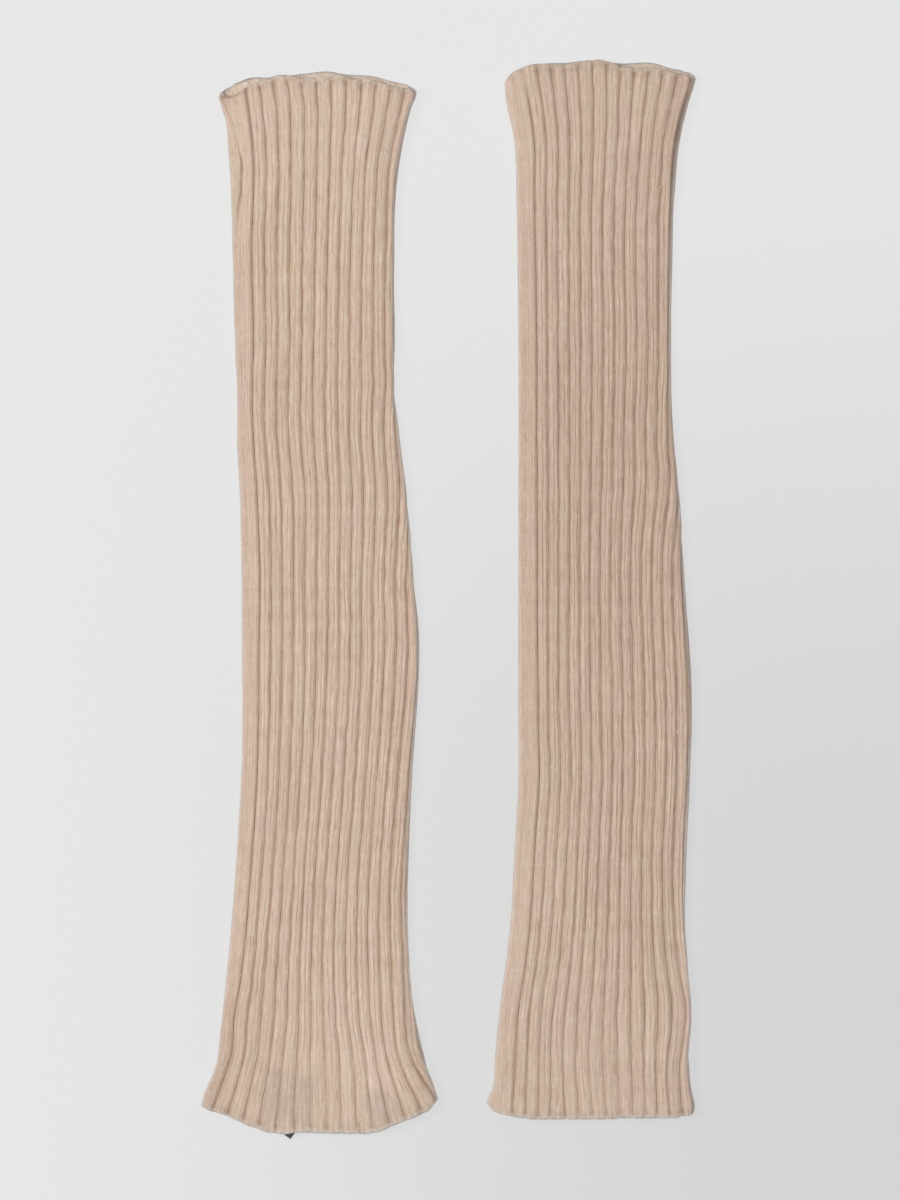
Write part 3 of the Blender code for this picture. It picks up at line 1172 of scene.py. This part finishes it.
class Graph:
    """A material's nodes, with the ways to add to them."""

    def __init__(self, name: str) -> None:
        """Starts a material that holds one Principled shader.

        Args:
            name: The material's name.
        """
        self.material = bpy.data.materials.new(name)
        self.material.use_nodes = True
        self.tree = self.material.node_tree
        self.shader = self.tree.nodes["Principled BSDF"]

    def fill(self, target: bpy.types.NodeSocket, value: Socketable) -> None:
        """Links a value to a socket, or sets the socket to it."""
        if isinstance(value, Value):
            self.tree.links.new(value.socket, target)
        else:
            target.default_value = value

    def add(self, kind: str, settings: Settings, sockets: Sockets, output: int | str = 0) -> Value:
        """Adds a node.

        Args:
            kind: The node's type.
            settings: Its settings, set before its sockets.
            sockets: Values or links of its inputs, by name or place.
            output: The output that is wanted.

        Returns:
            That output as a value.
        """
        node = self.tree.nodes.new(kind)
        for name, setting in settings.items():
            setattr(node, name, setting)
        for name, value in sockets.items():
            self.fill(node.inputs[name], value)
        return Value(self, node.outputs[output])

    def mix(self, low: Socketable, high: Socketable, share: Socketable, blend: str = "MIX") -> Value:
        """Mixes two colours: the first where the share is 0, the second where it is 1."""
        settings = {"data_type": "RGBA", "blend_type": blend}
        return self.add("ShaderNodeMix", settings, {0: share, 6: low, 7: high}, 2)

    def ramp(self, value: Value, start: float, end: float) -> Value:
        """0 up to the start, 1 from the end, and an eased rise between them."""
        settings = {"interpolation_type": "SMOOTHSTEP"}
        return self.add("ShaderNodeMapRange", settings, {"Value": value, 1: start, 2: end})

    def attribute(self, name: str) -> Value:
        """A number that the mesh holds at each point."""
        return self.add("ShaderNodeAttribute", {"attribute_name": name}, {}, "Fac")

    def place(self) -> Value:
        """The place on the object, in metres."""
        return self.add("ShaderNodeTexCoord", {}, {}, "Object")

    def noise(self, where: Value, scale: float, detail: float = 2, rough: float = 0.5) -> Value:
        """Noise about 0.5 with features of one over the scale."""
        sockets = {"Vector": where, "Scale": scale, "Detail": detail, "Roughness": rough}
        return self.add("ShaderNodeTexNoise", {}, sockets, "Fac")

    def stretched(self, where: Value, *factors: float) -> Value:
        """A vector times a factor on each axis."""
        settings = {"operation": "MULTIPLY"}
        return self.add("ShaderNodeVectorMath", settings, {0: where, 1: factors})

    def parts(self, where: Value) -> list[Value]:
        """The X, Y and Z of a vector."""
        node = self.add("ShaderNodeSeparateXYZ", {}, {0: where}).socket.node
        return [Value(self, output) for output in node.outputs]

    def bump(self, height: Value, distance: float) -> Value:
        """A normal that follows a height of so many metres."""
        sockets = {"Height": height, "Distance": distance, "Strength": 1}
        return self.add("ShaderNodeBump", {}, sockets)

    def finish(self, **sockets: Socketable) -> bpy.types.Material:
        """Fills the shader's sockets, named with underscores, and hands over the material."""
        for name, value in sockets.items():
            self.fill(self.shader.inputs[name.replace("_", " ")], value)
        return self.material


class KnitNoise(NamedTuple):
    """Noise on the map of the knit: features to a wale and to a course, and detail."""

    across: float
    along: float
    detail: float = 2


class Blots(NamedTuple):
    """Noise cut by a ramp: features to a metre, detail, start, end, and stretch along Y."""

    scale: float
    detail: float
    start: float
    end: float
    stretch: float = 1


class YarnGraph(Graph):
    """A yarn's nodes: the map of the knit, the place, and what is drawn from both."""

    def __init__(self, name: str) -> None:
        """Adds the map, the place and the finest noise.

        Args:
            name: The material's name.
        """
        super().__init__(name)
        self.chart = self.add("ShaderNodeUVMap", {"uv_map": "knit"}, {})
        self.wales, self.courses, _ = self.parts(self.chart)
        self.where = self.place()
        self.north = self.parts(self.where)[1]
        self.fibres = self.noise(self.where, 1900, 4, 0.7)

    def knit_noise(self, kind: KnitNoise) -> Value:
        """Noise on the map of the knit."""
        where = self.stretched(self.chart, kind.across, kind.along, 1)
        return self.noise(where, 1, kind.detail)

    def blots(self, kind: Blots) -> Value:
        """Noise cut by a ramp."""
        where = self.stretched(self.where, 1, kind.stretch, 1) if kind.stretch < 1 else self.where
        return self.ramp(self.noise(where, kind.scale, kind.detail), kind.start, kind.end)

    def stitches(self, lean: float, foot: float) -> Value:
        """Shapes the knit stitches.

        Args:
            lean: How far the legs of each V lean, as a share of a course.
            foot: The height at the sides of each leg.

        Returns:
            Heights from 0 to 1: a round yarn, 1 less (2p - 1) squared, where p is the part of
            a course along the leaning leg, times a sine over each leg's width.
        """
        leg = abs(self.wales.part() * 2 - 1)
        phase = (self.courses + leg * lean).part()
        yarn = 1 - (phase * 2 - 1) ** 2
        return yarn * ((leg * math.pi).sine() * (1 - foot) + foot)

    def core(self, finish: "YarnFinish") -> Value:
        """Draws a thin, uneven line of painted shade down the middle of every groove.

        Args:
            finish: The line's sizes.

        Returns:
            0 to 1: an eased fall from the nearest whole turn, moved aside by noise.
        """
        play = self.knit_noise(finish.core_sway) - 0.5
        turn = (self.wales - WALE_START) * (1 / WALES_PER_RIB) + play * finish.core_play
        aside = abs((turn + 0.5).part() - 0.5)
        fading = self.ramp(self.knit_noise(finish.core_fading), 0.3, 0.6)
        return self.ramp(aside, *finish.core_sides) * (fading * 0.7 + 0.3)

    def light(self, finish: "YarnFinish", rim: Value) -> Value:
        """Draws streaks, fibres, tufts, dashes, dark specks, painted light towards both ends, and
        the broad lighter and darker patches.

        Args:
            finish: The strengths and sizes of all these.
            rim: The nearness of a mouth, where tufts are stronger.

        Returns:
            A factor about 1 on the yarn's colour.
        """
        long, short = (self.knit_noise(kind) for kind in finish.streak_noise)
        light = (long + short - 1) * finish.streaks * 2 + (self.fibres - 0.5) * finish.fibre_light
        tufts = self.noise(self.where, finish.tuft_scale) - 0.5
        light = light + tufts * (rim * finish.rim_tufts + finish.tuft_light) + 1
        for kind, share in zip(finish.dash_noise, (finish.dashes, -finish.dashes)):
            light = light + self.ramp(self.knit_noise(kind), *finish.dash_ramp) * share
        light = light - self.blots(finish.dark_specks) * finish.dark_share
        # Painted light, lighter towards both ends of the warmers
        ends = self.ramp(abs(self.north), *finish.ends) * finish.ends_light
        return light + ends + self.attribute("tone")


@dataclass(frozen=True)
class YarnFinish:
    """Soft matt knit in brushed beige yarn, in colours as a screen shows them."""

    body: Screen
    # Colour of the painted shade in the grooves, which is partly the sunk purl yarn
    groove: Screen
    warm: Screen
    cool: Screen
    worn: Screen = (177, 177, 177)
    # Colour of the painted light on the lining
    lining_light: Screen = (247, 233, 216)
    veil: Screen = (150, 140, 136)
    shade: Screen = (120, 106, 96)
    # Colour of the painted shadow at the mouths
    mouth_shadow: Screen = (140, 106, 82)
    speck: Screen = (236, 224, 212)
    # Pale grey of the painted light along the outline
    fuzz: Screen = (210, 208, 205)
    # Darker grey of the painted shade where the outline turns under
    outline_shade: Screen = (154, 150, 156)
    tuft: Screen = (226, 206, 178)
    worn_share: float = 0.35
    lining_light_share: float = 0.45
    patches: Blots = Blots(52, 3, 0.34, 0.66, 0.4)
    patch_share: float = 0.6
    specks: Blots = Blots(860, 1, 0.71, 0.78, 0.5)
    speck_share: float = 0.45
    dark_specks: Blots = Blots(800, 1, 0.72, 0.8, 0.5)
    dark_share: float = 0.25
    tufts: Blots = Blots(330, 1, 0.48, 0.66)
    tuft_share: float = 0.2
    shadow_smudges: Blots = Blots(190, 1, 0.45, 0.7)
    smudge_shadow: float = 0.2
    groove_end_shadow: float = 0.9
    lip_shadow: float = 0.1
    mouth_shadow_share: float = 0.5
    groove_share: float = 0.6
    core_share: float = 0.75
    core_sway: KnitNoise = KnitNoise(0.35, 0.3)
    core_play: float = 0.09
    core_fading: KnitNoise = KnitNoise(0.25, 0.09)
    core_sides: tuple[float, float] = (0.07, 0.015)
    rim_share: float = 0.6
    lip_fade: float = 0.6
    inside_share: float = 0.85
    veil_share: float = 0.27
    veil_scale: float = 210
    veil_play: float = 1.4
    veil_least: float = 0.2
    upper_end: tuple[float, float] = (0.12, 0.2)
    lower_end: tuple[float, float] = (-0.19, -0.262)
    end_groove: float = 0.15
    ends: tuple[float, float] = (0.12, 0.24)
    ends_light: float = 0.055
    streaks: float = 0.22
    streak_noise: Sequence[KnitNoise] = (KnitNoise(1.5, 0.018), KnitNoise(3.6, 0.11, 3))
    dashes: float = 0.19
    dash_noise: Sequence[KnitNoise] = (KnitNoise(6.2, 0.12, 1), KnitNoise(5.4, 0.1, 1))
    dash_ramp: tuple[float, float] = (0.58, 0.68)
    fibre_light: float = 0.3
    tuft_scale: float = 420
    tuft_light: float = 0.2
    rim_tufts: float = 0.5
    lean: float = 0.6
    foot: float = 0.35
    stitch: float = 0.1 * MM
    stitch_height: float = 0.75
    fibre_height: float = 0.5
    sheen: float = 0.25
    darkening: tuple[float, float, float] = (0.84, 1.13, 1.34)

    def towards(self, other: Screen, share: float) -> Colour:
        """The body's colour, a share of the way towards another."""
        return lit(*((1 - share) * own + share * end for own, end in zip(self.body, other)))

    def material(self, name: str) -> bpy.types.Material:
        """Builds the material: yarn, then coat on coat, then light and bump.

        Args:
            name: The material's name.

        Returns:
            The finished material.
        """
        graph = YarnGraph(name)
        north = graph.north
        keys = ("groove", "rim", "lip", "veil", "inside", "shade", "fuzz")
        groove, rim, lip, veil, inside, shade, fuzz = (graph.attribute(key) for key in keys)
        # Painted shade in the grooves, partly the sunk purl yarn: stronger towards the upper end and
        # fainter towards the lower hem
        depth = groove * (graph.core(self) * self.core_share + self.groove_share)
        ends = graph.ramp(north, *self.upper_end) * self.end_groove
        depth = depth * (ends - graph.ramp(north, *self.lower_end) * self.end_groove + 1)
        # Painted shadow at the mouths: brown smudges and the grooves' ends where the front edge
        # shades the lining, and a brown line along the front's upper lip
        shadow_smudge = graph.blots(self.shadow_smudges) * self.smudge_shadow + groove * self.groove_end_shadow
        shadow_ring = rim * (1 - rim) * 4 * (shadow_smudge + lip * self.lip_shadow) * (1 - inside)
        tufts = graph.blots(self.tufts) * rim * (1 - inside)
        faded = lip * -self.lip_fade + 1
        mottle = graph.noise(graph.where, self.veil_scale) * self.veil_play + self.veil_least
        yarn = graph.mix(lit(*self.cool), lit(*self.warm), graph.blots(self.patches))
        colour = graph.mix(lit(*self.body), yarn, self.patch_share)
        for coat, share in (
            (lit(*self.groove), depth),
            (self.towards(self.worn, self.worn_share), rim * faded * self.rim_share),
            # Painted light on the lining, which lifts the inner face where the front layer shades it
            # in the mouths
            (self.towards(self.lining_light, self.lining_light_share), inside * self.inside_share),
            (lit(*self.mouth_shadow), shadow_ring * self.mouth_shadow_share),
            (lit(*self.tuft), tufts * self.tuft_share),
            (lit(*self.speck), graph.blots(self.specks) * self.speck_share),
            (lit(*self.shade), shade),
            # Painted light along the outline, turning to painted shade on the inner face
            (graph.mix(lit(*self.fuzz), lit(*self.outline_shade), inside), fuzz),
            (lit(*self.veil), veil * mottle * self.veil_share),
        ):
            colour = graph.mix(colour, coat, share)
        light = graph.light(self, rim) - 1
        channels = {channel: light * share + 1 for channel, share in enumerate(self.darkening)}
        tint = graph.add("ShaderNodeCombineXYZ", {}, channels)
        height = graph.stitches(self.lean, self.foot) * self.stitch_height
        height = height + graph.fibres * self.fibre_height
        return graph.finish(
            Base_Color=graph.mix(colour, tint, 1, "MULTIPLY"),
            Normal=graph.bump(height, self.stitch),
            Roughness=0.92,
            Specular_IOR_Level=0.2,
            Sheen_Weight=self.sheen,
            Sheen_Roughness=0.6,
            Sheen_Tint=(1, 0.95, 0.9, 1),
        )


@dataclass(frozen=True)
class TapeFinish:
    """Dark grey woven tape for the label."""

    name: str = "label_tape"
    body: Colour = lit(74, 69, 74)
    thread: Colour = lit(96, 91, 96)
    gauge: float = 0.35 * MM
    relief: float = 0.05 * MM

    def material(self) -> bpy.types.Material:
        """Builds the material: two sets of threads that take turns, as sines.

        Returns:
            The finished material.
        """
        graph = Graph(self.name)
        where = graph.place()
        waves = graph.stretched(where, *[2 * math.pi / self.gauge] * 3)
        across, along, _ = graph.parts(waves)
        weave = across.sine() * along.sine()
        fibres = graph.noise(where, 2600, 3)
        colour = graph.mix(self.body, self.thread, (weave * 0.5 + 0.5) * fibres)
        bump = graph.bump(weave * 0.5 + fibres, self.relief)
        return graph.finish(Base_Color=colour, Normal=bump, Roughness=0.8, Sheen_Weight=0.1)


@dataclass(frozen=True)
class Lamp:
    """A soft round light that points at the origin."""

    name: str
    place: tuple[float, float, float]
    size: float
    power: float

    def build(self) -> None:
        """Makes the light."""
        lamp = bpy.data.lights.new(self.name, "AREA")
        lamp.shape = "DISK"
        lamp.size = self.size
        lamp.energy = self.power
        made = linked(self.name, lamp)
        made.location = self.place
        made.rotation_euler = (-Vector(self.place)).to_track_quat("-Z", "Y").to_euler()


@dataclass(frozen=True)
class Studio:
    """Pale floor, soft light and the camera straight above."""

    pale: Colour = lit(230, 230, 230)
    shade: Colour = lit(213, 213, 213)
    floor_size: float = 16
    floor_height: float = -0.1 * MM
    camera_height: float = 2.5
    frame_height: float = 0.6228
    cloth_height: float = 5 * MM
    frame_middle: tuple[float, float] = (0.8 * MM, 0.4 * MM)
    sensor: float = 36
    lamps: Sequence[Lamp] = (
        Lamp("key", (-2.2, 0.25, 2.2), 1.4, 46),
        Lamp("top", (0, 0, 3.2), 2.2, 40),
    )
    world_light: float = 0.25
    paint: float = 0.15
    glow: float = 0.85

    def floor(self) -> None:
        """Lays the floor just below the cloth, mostly glowing, and darker to the lower right."""
        half = self.floor_size / 2
        corners = [(x * half, y * half, self.floor_height) for x, y in SQUARE]
        mesh = bpy.data.meshes.new("floor")
        mesh.from_pydata(corners, [], [(0, 1, 2, 3)])
        floor = linked("floor", mesh)
        graph = Graph("pale_floor")
        x, y, _ = graph.parts(graph.place())
        fall = graph.ramp(x, -0.26, 0.2) * graph.ramp(y, 0.28, -0.15)
        colour = graph.mix(self.pale, self.shade, fall)
        # The floor's glow is painted light: it keeps the floor evenly pale and washes out the
        # cloth's cast shadows
        floor.data.materials.append(graph.finish(
            Base_Color=graph.mix((0, 0, 0, 1), colour, self.paint),
            Roughness=0.95,
            Emission_Color=colour,
            Emission_Strength=self.glow,
        ))

    def camera(self) -> None:
        """Hangs the camera straight above, with the picture's height on the cloth."""
        data = bpy.data.cameras.new("camera")
        data.sensor_width = self.sensor
        data.lens = self.sensor * (self.camera_height - self.cloth_height) / self.frame_height
        camera = linked("camera", data)
        camera.location = (*self.frame_middle, self.camera_height)
        bpy.context.scene.camera = camera

    def build(self) -> None:
        """Makes the floor, the lamps, an even sky and the camera."""
        self.floor()
        for lamp in self.lamps:
            lamp.build()
        world = bpy.data.worlds.new("even_sky")
        world.use_nodes = True
        sky = world.node_tree.nodes["Background"].inputs
        sky["Color"].default_value = (1, 1, 1, 1)
        sky["Strength"].default_value = self.world_light
        bpy.context.scene.world = world
        self.camera()
        bpy.context.scene.view_settings.view_transform = "Standard"


def settle(piece: bpy.types.Object, node: str, finish: bpy.types.Material) -> None:
    """Dresses a piece, ties it to the frame and reports it.

    Args:
        piece: The piece.
        node: The frame's node that it stands for.
        finish: Its material.
    """
    piece.data.materials.append(finish)
    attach(piece, BODY)
    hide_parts(node)
    triangles = sum(face.loop_total - 2 for face in piece.data.polygons)
    LOG.info("%s stands for %s: %d triangles", piece.name, node, triangles)


@dataclass(frozen=True)
class Warmer:
    """One arm warmer: rib panel, plain band and two knitted edges."""

    tube: KnitTube
    yarn: YarnFinish
    panel_flat: tuple[float, float]
    band_flat: tuple[float, float]
    band_streaks: float = 0.2

    def build(self) -> None:
        """Builds and dresses the pieces, and logs which part of the frame each stands for."""
        name = self.tube.name
        panel, side = rib_panel(self.tube), side_band(self.tube)
        ribs, band = panel.build(), side.build()
        turns = np.concatenate([side.turns[:-1], panel.turns[:-1]])
        rolls = [KnittedEdge(self.tube, end, turns, panel.rim).build() for end in End]
        settle(ribs, f"{name}_rib_panel", self.yarn.material(f"{name}_rib_knit"))
        plain = replace(self.yarn, streaks=self.band_streaks).material(f"{name}_plain_knit")
        settle(band, f"{name}_side_band", plain)
        edge = self.yarn.material(f"{name}_knitted_edge")
        for roll, end in zip(rolls, End):
            settle(roll, f"{name}_{end.name.lower()}_edge", edge)


def main() -> None:
    """Builds the studio, the two warmers and the label, in that order."""
    logging.basicConfig(level=logging.INFO, format="%(name)s: %(message)s")
    Studio().build()
    left = KnitTube(
        "left", -66.8 * MM, 262.1 * MM, LEFT_OUTLINE, LEFT_GROOVES, LEFT_UPPER, LEFT_LOWER,
        LEFT_BAND_CREASE, LEFT_CREASES, LEFT_FOLD_SHADE, seed=11, corner_brink=1,
    )
    right = KnitTube(
        "right", 78.7 * MM, 270.2 * MM, RIGHT_OUTLINE, RIGHT_GROOVES, RIGHT_UPPER, RIGHT_LOWER,
        RIGHT_BAND_CREASE, RIGHT_CREASES, RIGHT_FOLD_SHADE, seed=47, seam_start=14 * MM, band_rim_shadow=0,
        left_shade=0.02,
    )
    left_yarn = YarnFinish((213, 188, 167), (166, 135, 113), (212, 190, 165), (214, 186, 169))
    right_yarn = YarnFinish((208, 182, 162), (162, 133, 113), (207, 184, 160), (209, 180, 164))
    Warmer(left, left_yarn, (0.172, 0.536), (0.021, 0.52)).build()
    Warmer(right, right_yarn, (0.158, 0.54), (0.022, 0.53)).build()
    label = Label()
    tag = label.build()
    settle(tag, "label", TapeFinish().material())


if __name__ == "__main__":
    main()
